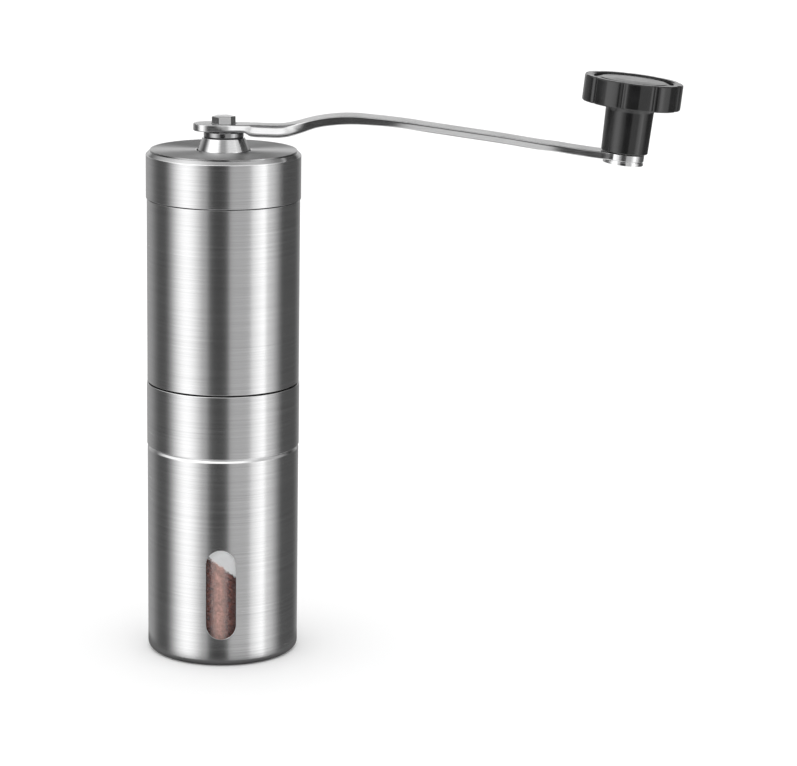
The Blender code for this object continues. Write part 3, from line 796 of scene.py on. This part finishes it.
def build_grounds(inside, cup_floor):
    """Ground coffee in the cup: a heap whose side lies against the cup's wall, with loose grains on it."""
    floor_z = cup_floor + 0.1
    wall_r = inside - 0.12
    fillet = 1.4               # the cup's inner corner, which the heap keeps clear of
    around = 240
    rows = 60
    bm = bmesh.new()
    rings = []
    for i in range(rows + 1):
        t = i / rows
        ring = []
        for k in range(around):
            a = 2 * math.pi * k / around
            x, y = wall_r * math.cos(a), wall_r * math.sin(a)
            top = heap_height(x, y)
            z = floor_z + (top - floor_z) * t
            point = Vector((x, y, z))
            dent = 0.22 * abs(noise.noise(point * 1.6)) + 0.12 * abs(noise.noise(point * 3.7))
            inset = min(fillet, max(0.0, floor_z + fillet - z))
            r = wall_r - dent - (inset * inset) * 0.5
            ring.append(bm.verts.new((r * math.cos(a), r * math.sin(a), z)))
        rings.append(ring)
    inward = 26
    for i in range(1, inward):
        share = 1.0 - i / inward
        ring = []
        for k in range(around):
            a = 2 * math.pi * k / around
            x, y = wall_r * share * math.cos(a), wall_r * share * math.sin(a)
            ring.append(bm.verts.new((x, y, heap_height(x, y))))
        rings.append(ring)
    peak = bm.verts.new((0.0, 0.0, heap_height(0.0, 0.0)))
    foot = bm.verts.new((0.0, 0.0, floor_z))
    join_rows(bm, [[peak]] + rings[::-1] + [[foot]])
    mesh = finish_mesh("coffee_grounds", bm, 180.0)
    piece("coffee_grounds", mesh, "catch_cup", [COFFEE])

    draw = random.Random(7)
    grain_count = 900
    bm = bmesh.new()
    for _ in range(grain_count):
        if draw.random() < 0.6:
            a = -0.5 * math.pi + SLOT_TURN + draw.uniform(-0.36, 0.36)
            r = wall_r - draw.uniform(0.25, 0.5)
            x, y = r * math.cos(a), r * math.sin(a)
            z = draw.uniform(floor_z + 1.5, heap_height(x, y) + 0.1)
        else:
            a = draw.uniform(0.0, 2.0 * math.pi)
            r = (wall_r - 0.6) * math.sqrt(draw.random())
            x, y = r * math.cos(a), r * math.sin(a)
            z = heap_height(x, y) + 0.12
        size = draw.uniform(0.18, 0.42)
        sides = (draw.uniform(0.7, 1.3), draw.uniform(0.7, 1.3), draw.uniform(0.6, 1.0))
        stretch = Matrix.Diagonal((*sides, 1.0))
        turn = draw.uniform(0, math.pi)
        spin = Matrix.Rotation(turn, 4, Vector((draw.uniform(-1, 1), draw.uniform(-1, 1), 1)))
        bmesh.ops.create_icosphere(bm, subdivisions=1, radius=size,
                                   matrix=Matrix.Translation((x, y, z)) @ spin @ stretch)
    limit = inside - 0.05
    for vert in bm.verts:
        reach = math.hypot(vert.co.x, vert.co.y)
        if reach > limit:
            vert.co.x *= limit / reach
            vert.co.y *= limit / reach
    mesh = finish_mesh("coffee_grains", bm, 25.0)
    piece("coffee_grains", mesh, "catch_cup", [COFFEE])


# ---------------------------------------------------------------- housing

def build_housing():
    shoulder = BAND_LOW - 0.05
    bevel_low, bevel_high = BAND_LOW + 0.1, BAND_HIGH - 0.25
    turned("band_skin",
           [(BAND_R, BAND_HIGH, 0.28), (BAND_R, bevel_low, 0.2), (BAND_R - 0.2, shoulder, 0.05),
            (BAND_R - WALL, shoulder, 0.1), (BAND_R - WALL, BAND_HIGH, 0.15)],
           "housing", [STEEL, POLISHED], ["middle_band"], ROUND,
           pick=lambda r, z: 1 if z < bevel_low or z > bevel_high else 0)
    turned("tube_skin", section(BODY_R, BODY_R - WALL, TUBE_LOW + 0.2, TUBE_HIGH, 0.2, 0.12, 0.1, 0.15),
           "housing", [STEEL], ["hopper_shell"], ROUND)
    liner_low, liner_high = levels("hopper_liner")
    liner_r = outer_radius("hopper_liner")
    rim_r, liner_bore = 22.7, 21.5
    rim_foot = LID_LOW - GAP
    turned("hopper_inside",
           [(rim_r, liner_high, 0.5), (rim_r, rim_foot, 0.1), (liner_r, rim_foot, 0.2),
            (liner_r, liner_low, 0.2), (liner_bore, liner_low, 0.2), (liner_bore, liner_high, 0.5)],
           "housing", [SATIN_BLACK], ["hopper_liner"], ROUND)
    build_burr_body(shoulder)
    middle = 0.5 * sum(levels("spigot_ring"))
    turned("o_ring", section(23.75, 22.65, middle - 0.55, middle + 0.55, 0.5), "housing", [RUBBERY],
           ["spigot_ring"], ROUND, steps=6)
    keep_nodes(["shaft_bridge", "burr_retainer"], SATIN_BLACK)
    keep_nodes(["lower_bush", "upper_bush"], NYLON)
    keep_nodes(["outer_burr", "inner_burr"], CERAMIC)
    keep_nodes(["retainer_screw_1", "retainer_screw_2", "retainer_screw_3", "thrust_washer", "circlip",
                "burr_spring"], POLISHED)


def build_burr_body(shoulder):
    """The plastic inside the band: a funnel, a throat, the burr's pocket and the spigot with its groove."""
    low, high = levels("burr_housing")
    outer = outer_radius("burr_housing")
    spigot_r, tip_r, groove_r = BODY_R - WALL - GAP, 23.4, 22.4
    groove_high, groove_low, taper = 67.4, 65.6, 63.9
    skirt_r, pocket_r, throat_r, funnel_r = 21.4, 18.2, 14.2, 20.6
    pocket_low, pocket_high, throat_high = 71.5, 83.0, 84.8
    turned("burr_body",
           [(outer, high, 0.2), (outer, shoulder, 0.1), (spigot_r, shoulder, 0.1),
            (spigot_r, groove_high, 0.12), (groove_r, groove_high, 0.2), (groove_r, groove_low, 0.2),
            (spigot_r, groove_low, 0.12), (spigot_r, taper, 0.3), (tip_r, low, 0.2), (skirt_r, low, 0.3),
            (skirt_r, pocket_low, 0.2), (pocket_r, pocket_low, 0.1), (pocket_r, pocket_high, 0.1),
            (throat_r, pocket_high, 0.2), (throat_r, throat_high, 0.6), (funnel_r, high, 0.6)],
           "housing", [SATIN_BLACK], ["burr_housing"])


def keep_nodes(names, mat):
    """Gives carried-over solids their material."""
    for name in names:
        for slot in NODES[name].material_slots:
            slot.material = mat


# ---------------------------------------------------------------- drive and setting wheel

def build_drive():
    shaft_low, shaft_high = levels("drive_shaft")
    hub_low, hub_high = levels("hub_sleeve")
    shaft_top = hub_high + 0.4
    shaft_r, clip_r = 3.0, 2.3
    clip_high, clip_low = 102.5, 101.1
    crest_r, root_r, pitch = 2.5, 2.2, 0.8
    thread = [point for k in range(10)
              for point in ((crest_r, 67.0 - pitch * k, 0.05), (root_r, 66.6 - pitch * k, 0.05))]
    turned("shaft_round",
           [(0.0, shaft_top, 0), (shaft_r, shaft_top, 0.1), (shaft_r, clip_high, 0.1),
            (clip_r, clip_high, 0.1), (clip_r, clip_low, 0.1), (shaft_r, clip_low, 0.1),
            (shaft_r, 68.0, 0.2), (crest_r, 67.5, 0.1)]
           + thread + [(crest_r, 59.0, 0.1), (2.0, shaft_low, 0.1), (0.0, shaft_low, 0)],
           "drive", [POLISHED], segments=SMALL, ring=False, steps=2)
    stud_r = 3.87
    stud = flat_outline([polygon(6, stud_r, HEX_TURN)], hub_high + 0.25, shaft_high, 0.35)
    mesh = finish_mesh("shaft_stud", stud, 25.0)
    piece("shaft_stud", mesh, "drive", [POLISHED], ["drive_shaft"])

    top_r, cone_r, stem_r = 6.9, 8.4, 6.4
    turned("hub_cone",
           [(top_r, hub_high, 0.15), (cone_r, LID_HIGH, 0.5), (cone_r, LID_HIGH - 0.5, 0.2),
            (stem_r, LID_HIGH - 2.5, 0.3), (stem_r, hub_low, 0.3), (SHAFT_BORE_R, hub_low, 0.1),
            (SHAFT_BORE_R, hub_high, 0.1)],
           "drive", [MIRROR], ["hub_sleeve"])
    collar_low, collar_high = levels("hub_washer")
    turned("hub_collar", section(6.5, 4.17, collar_low, collar_high, 0.12, 0.08, 0.1, 0.1),
           "drive", [DARK_STEEL], ["hub_washer"])
    # A black ring filling the gap between the cone and the collar: painted shade for the shadow in that gap
    turned("hub_ring", section(6.35, SHAFT_BORE_R, hub_high - 0.02, collar_low + 0.02, 0.05),
           "drive", [RUBBERY])


def build_setting():
    carrier_low, carrier_high = levels("burr_carrier")
    neck_r, plate_r, plate_top = 5.2, 12.0, 71.7
    turned("carrier_cone",
           [(neck_r, carrier_high, 0.3), (neck_r, plate_top, 0.3), (plate_r, plate_top, 0.5),
            (plate_r, carrier_low, 0.5), (SHAFT_BORE_R, carrier_low, 0.2), (SHAFT_BORE_R, carrier_high, 0.2)],
           "burr", [SATIN_BLACK], ["burr_carrier"])
    outlines = [wavy_circle(9.6, 0.5, 12, 240), polygon(SMALL, 4.5)]
    wheel = flat_outline(outlines, *levels("adjuster_wheel"), 0.45)
    piece("setting_wheel", finish_mesh("setting_wheel", wheel, 40.0), "adjuster", [SATIN_BLACK],
          ["adjuster_wheel"])
    turned("brass_nut", section(4.2, 2.8, *levels("adjuster_nut"), 0.2, 0.2, 0.3, 0.3),
           "adjuster", [BRASS], ["adjuster_nut"], SMALL)
    outlines = [wavy_circle(8.1, 0.2, 18, 180), polygon(SMALL, SHAFT_BORE_R)]
    plate = flat_outline(outlines, *levels("detent_washer"), 0.12, 2)
    piece("detent_plate", finish_mesh("detent_plate", plate, 40.0), "adjuster", [POLISHED], ["detent_washer"])


# ---------------------------------------------------------------- lid

def build_lid():
    top = LID_HIGH
    low = LID_LOW
    inner = LID_R - WALL
    hole = 8.8
    disc = LID_R - 1.4
    step = 0.5
    bevel = 1.6
    roof = 1.2                 # the top's thickness

    def finish(r, z):
        """The brushed disc, the polished hole, the step round the disc in dark steel as painted shade for the
        gap there, the bright edge of the bevel.
        """
        if r < hole + 0.3:
            return 1
        if z > top - 0.04:
            return 2
        # the step round the disc: dark steel, painted shade for the gap between the disc and the bevel
        if z > top - step - 0.02 and r < disc + 0.28:
            return 3
        return 1 if -0.3 < z - (top - bevel) < 0.2 and r > LID_R - 0.2 else 0

    turned("lid_skin",
           [(hole, top, 0.35), (disc, top, 0.05), (disc, top - step, 0.04),
            (disc + 0.3, top - step, 0.05), (LID_R, top - bevel, 0.45), (LID_R, low, 0.12),
            (inner, low, 0.15), (inner, top - roof, 1.0), (hole, top - roof, 0.2)],
           "lid", [STEEL, POLISHED, TOP_STEEL, DARK_STEEL], ["lid_shell"], ROUND,
           pick=finish)
    liner_low, liner_high = levels("lid_liner")
    outer = outer_radius("lid_liner")
    liner_hole, wall = 9.6, 1.2
    turned("lid_inside",
           [(liner_hole, liner_high, 0.2), (outer, liner_high, 0.9), (outer, liner_low, 0.3),
            (outer - wall, liner_low, 0.4), (outer - wall, liner_high - wall, 0.8),
            (liner_hole, liner_high - wall, 0.2)],
           "lid", [SATIN_BLACK], ["lid_liner"], ROUND)


# ---------------------------------------------------------------- crank and knob

# The arm's middle height and thickness along X: flat at the stud, a thick dip, the goose neck, the long run.
ARM_T = 2.3
ARM_LINE = [(-11.0, 175.35, ARM_T), (0.0, 175.35, ARM_T), (6.6, 175.35, ARM_T), (9.5, 174.75, 3.6),
            (14.0, 174.6, 3.7), (19.0, 174.65, 3.7), (24.0, 175.62, 3.4), (30.0, 177.44, 2.85),
            (36.0, 178.4, 2.8), (42.0, 178.7, 2.7), (48.0, 178.4, 2.45), (54.0, 177.92, ARM_T),
            (60.0, 177.26, ARM_T), (66.0, 176.39, ARM_T), (78.0, 174.77, ARM_T), (90.0, 173.15, ARM_T),
            (102.0, 171.32, ARM_T), (108.0, 170.63, ARM_T), (114.0, 169.73, ARM_T), (121.0, 168.83, ARM_T),
            (130.0, 167.9, ARM_T), (139.0, 166.99, ARM_T)]


def smooth_line(knots, per_span=12):
    """Catmull-Rom through the knots."""
    ends = [knots[0]] + knots + [knots[-1]]
    points = []
    for p0, p1, p2, p3 in zip(ends, ends[1:], ends[2:], ends[3:]):
        for i in range(per_span):
            t = i / per_span
            points.append(Vector([0.5 * (2 * b + (c - a) * t + (2 * a - 5 * b + 4 * c - d) * t * t
                                         + (3 * b - 3 * c + d - a) * t ** 3)
                                  for a, b, c, d in zip(p0, p1, p2, p3)]))
    points.append(Vector(knots[-1]))
    return points


def side_lean(x):
    """How the arm's sides lean along X: inwards above (negative) at the stud, upright on the rise, then
    inwards below on the long run."""
    at_stud = ease(x, -3.0, 3.0) - ease(x, 19.0, 28.0)
    on_run = ease(x, 45.0, 70.0) - 0.7 * ease(x, 98.0, 112.0) - 0.3 * ease(x, 115.0, 121.0)
    return -0.6 * at_stud + 0.45 * on_run


def build_crank():
    line = smooth_line(ARM_LINE)
    half = 5.0                 # of the arm's width
    eye_r, eye_x = 5.4, -4.5
    end_r = 6.6
    edge = 0.3
    knob_x = KNOB_PIVOT.x
    eye = arc(eye_r, [math.radians(a) for a in range(90, 271, 4)], eye_x)
    swell = math.radians(124)
    end = arc(end_r, [swell * (i / 30 - 1) for i in range(61)], knob_x)

    def fair(a, b, steps=16):
        """An S-shaped edge between two points, level at both ends."""
        points = []
        for i in range(1, steps):
            t = i / steps
            points.append((a[0] + (b[0] - a[0]) * t, a[1] + (b[1] - a[1]) * t * t * (3 - 2 * t)))
        return points

    eye_edge, run_start, run_end = (0.0, -eye_r), (16.0, -half), (knob_x - 7.5, -half)
    lower_side = [eye_edge] + fair(eye_edge, run_start) + [run_start, run_end] + fair(run_end, end[0], 8)
    upper_side = [(x, -y) for x, y in reversed(lower_side)]
    hex_hole = polygon(6, 4.27, HEX_TURN)
    pin_hole = polygon(48, PIN_BORE_R, x=knob_x)
    outlines = [eye + lower_side + end + upper_side, hex_hole, pin_hole]
    bm = flat_outline(outlines, -0.5 * ARM_T, 0.5 * ARM_T, edge, 4)

    def cut(point, normal):
        """New edges along a plane, where the flat strip can bend."""
        bmesh.ops.bisect_plane(bm, geom=bm.verts[:] + bm.edges[:] + bm.faces[:], dist=1e-4,
                               plane_co=point, plane_no=normal)

    x = -9.6
    while x < knob_x + 6.2:
        cut((x, 0.0, 0.0), (1.0, 0.0, 0.0))
        x += 0.8
    for level in (-0.69, -0.35, 0.0, 0.35, 0.69):
        cut((0.0, 0.0, level), (0.0, 0.0, 1.0))
    for vert in bm.verts:
        place, slope, thickness = on_line(line, vert.co.x)
        if abs(vert.co.y) > half - 0.7:
            lean = side_lean(vert.co.x)
            height = vert.co.z if lean > 0.0 else -vert.co.z
            inset = abs(lean) * max(0.0, 0.3 * ARM_T - height) * thickness / ARM_T
            vert.co.y -= math.copysign(inset, vert.co.y)
        up = vert.co.z * thickness / ARM_T
        vert.co.x -= up * slope / math.sqrt(1 + slope * slope)
        vert.co.z = place + up / math.sqrt(1 + slope * slope)
    mesh = finish_mesh("crank_strip", bm, 40.0)
    piece("crank_strip", mesh, "crank", [ARM_STEEL], ["crank_arm"])

    half_t = 0.5 * ARM_T
    pin_r, head_r, neck_r, flange_r = 2.6, 4.5, 6.3, 6.6
    head_low, head_high, flange_low = 19.3, 20.9, -2.45
    turned("pin_flange",
           [(0.0, head_high, 0), (head_r, head_high, 0.4), (head_r, head_low, 0.2), (pin_r, head_low, 0.2),
            (pin_r, -half_t - 0.02, 0.05), (neck_r, -half_t - 0.02, 0.05), (neck_r, -half_t - GAP, 0.03),
            (flange_r, -half_t - GAP, 0.08), (flange_r, flange_low, 0.15), (0.0, flange_low, 0)],
           "crank", [MIRROR], ["knob_pin"], ring=False, place=KNOB_PLACE)
    turned("slip_washer", section(5.0, PIN_BORE_R, STEM_LOW, 2.3, 0.1),
           "crank", [NYLON], ["pin_washer"], SMALL, place=KNOB_PLACE)


def on_line(line, x):
    """The line's height, slope and thickness at x."""
    for a, b in zip(line, line[1:]):
        if a.x <= x <= b.x and b.x > a.x:
            t = (x - a.x) / (b.x - a.x)
            return a.y + (b.y - a.y) * t, (b.y - a.y) / (b.x - a.x), a.z + (b.z - a.z) * t
    end = line[0] if x < line[0].x else line[-1]
    other = line[1] if x < line[0].x else line[-2]
    slope = (other.y - end.y) / (other.x - end.x)
    return end.y + slope * (x - end.x), slope, end.z


# The knob, along its own axis from the pivot
STEM_LOW = 1.45
HEAD_LOW, HEAD_TOP = 16.8, 25.3
HEAD_R = 16.1
LOBES = 9
GROOVE = math.radians(-106.0)  # one groove of the head, about the knob's axis from +X


def flute(r, z, angle):
    """The head's rim has wide lobes between narrow grooves; the stem and the top are round."""
    round_r, fade = 13.6, 1.6
    depth, width, crown = 0.034, 0.075, 0.012
    if r < round_r or z < HEAD_LOW - 0.2:
        return 1.0
    reach = min(1.0, (r - round_r) / fade)
    turn = 2.0 * math.pi / LOBES
    off = abs((angle - GROOVE + 0.5 * turn) % turn - 0.5 * turn) / turn
    groove = depth * math.exp(-(off / width) ** 2)
    flat = crown * (2.0 * off) ** 2 if off < 0.5 else 0.0
    return 1.0 - reach * (groove + crown - flat)


def build_knob():
    recess_r, recess_z = 13.0, 23.2    # the cap's
    well_r, well_z = 8.0, 19.0         # the pin head's
    socket_r, socket_z = 5.3, 2.6      # the washer's
    turned("grip",
           [(recess_r, 25.0, 0.15), (13.9, HEAD_TOP, 0.3), (HEAD_R, HEAD_TOP, 0.5),
            (HEAD_R, HEAD_LOW, 0.6), (8.6, HEAD_LOW, 1.2), (7.85, HEAD_LOW - 1.8, 1.2), (7.6, STEM_LOW, 0.35),
            (socket_r, STEM_LOW, 0.1), (socket_r, socket_z, 0.1), (PIN_BORE_R, socket_z, 0.1),
            (PIN_BORE_R, well_z, 0.2), (well_r, well_z, 0.2), (well_r, recess_z, 0.2),
            (recess_r, recess_z, 0.2)],
           "knob", [GLOSS_BLACK], ["knob_grip"], 360, place=KNOB_PLACE, lobe=flute, steps=5)
    cap_r, cap_low = 12.7, 23.5
    lug_outer, lug_inner, lug_low = 7.5, 6.5, 22.0
    turned("grip_cap",
           [(0.0, HEAD_TOP, 0), (6.0, 25.25, 1.0), (10.6, 25.0, 0.8), (12.0, 24.55, 0.5), (cap_r, 24.5, 0.25),
            (cap_r, cap_low, 0.2), (lug_outer, cap_low, 0.2), (lug_outer, lug_low, 0.2),
            (lug_inner, lug_low, 0.2), (lug_inner, cap_low, 0.2), (0.0, cap_low, 0)],
           "knob", [GLOSS_BLACK], ["knob_cap"], ring=False, place=KNOB_PLACE)


build_camera()
build_floor()
build_world()

STEEL = brushed_steel("brushed_steel", 0.575, 0.245)
TOP_STEEL = brushed_steel("circular_brushed", 0.43, 0.34, 1.3, 0.93)
POLISHED = polished_steel("polished_rim", 0.72, 0.14, (400.0, 400.0, 6000.0))
MIRROR = polished_steel("mirror_steel", 0.78, 0.07, (500.0, 500.0, 5000.0))
DARK_STEEL = polished_steel("dark_steel", 0.34, 0.12, (500.0, 500.0, 5000.0))
ARM_STEEL = polished_steel("arm_steel", 0.66, 0.2, (120.0, 3200.0, 3200.0), 0.5)
GLOSS_BLACK = black_plastic("gloss_black", 0.011, 0.16)
SATIN_BLACK = black_plastic("satin_black", 0.016, 0.38, 0.00002)
RUBBERY = satin("silicone", (0.02, 0.02, 0.021), 0.62)
CLEAR = clear_plastic("clear_plastic")
FROSTED = frosted_cup("frosted_cup")
CERAMIC = satin("ceramic", (0.82, 0.80, 0.75), 0.42, 900.0, 0.00002, 0.05)
NYLON = satin("nylon", (0.76, 0.75, 0.71), 0.4, 700.0, 0.00001, 0.04)
BRASS = satin("brass", (0.72, 0.5, 0.2), 0.24, 1200.0, 0.000005, 0.08, 1.0)
COFFEE = coffee("ground_coffee")

build_catch_cup()
build_housing()
build_drive()
build_setting()
build_lid()
build_crank()
build_knob()

bpy.context.view_layer.update()
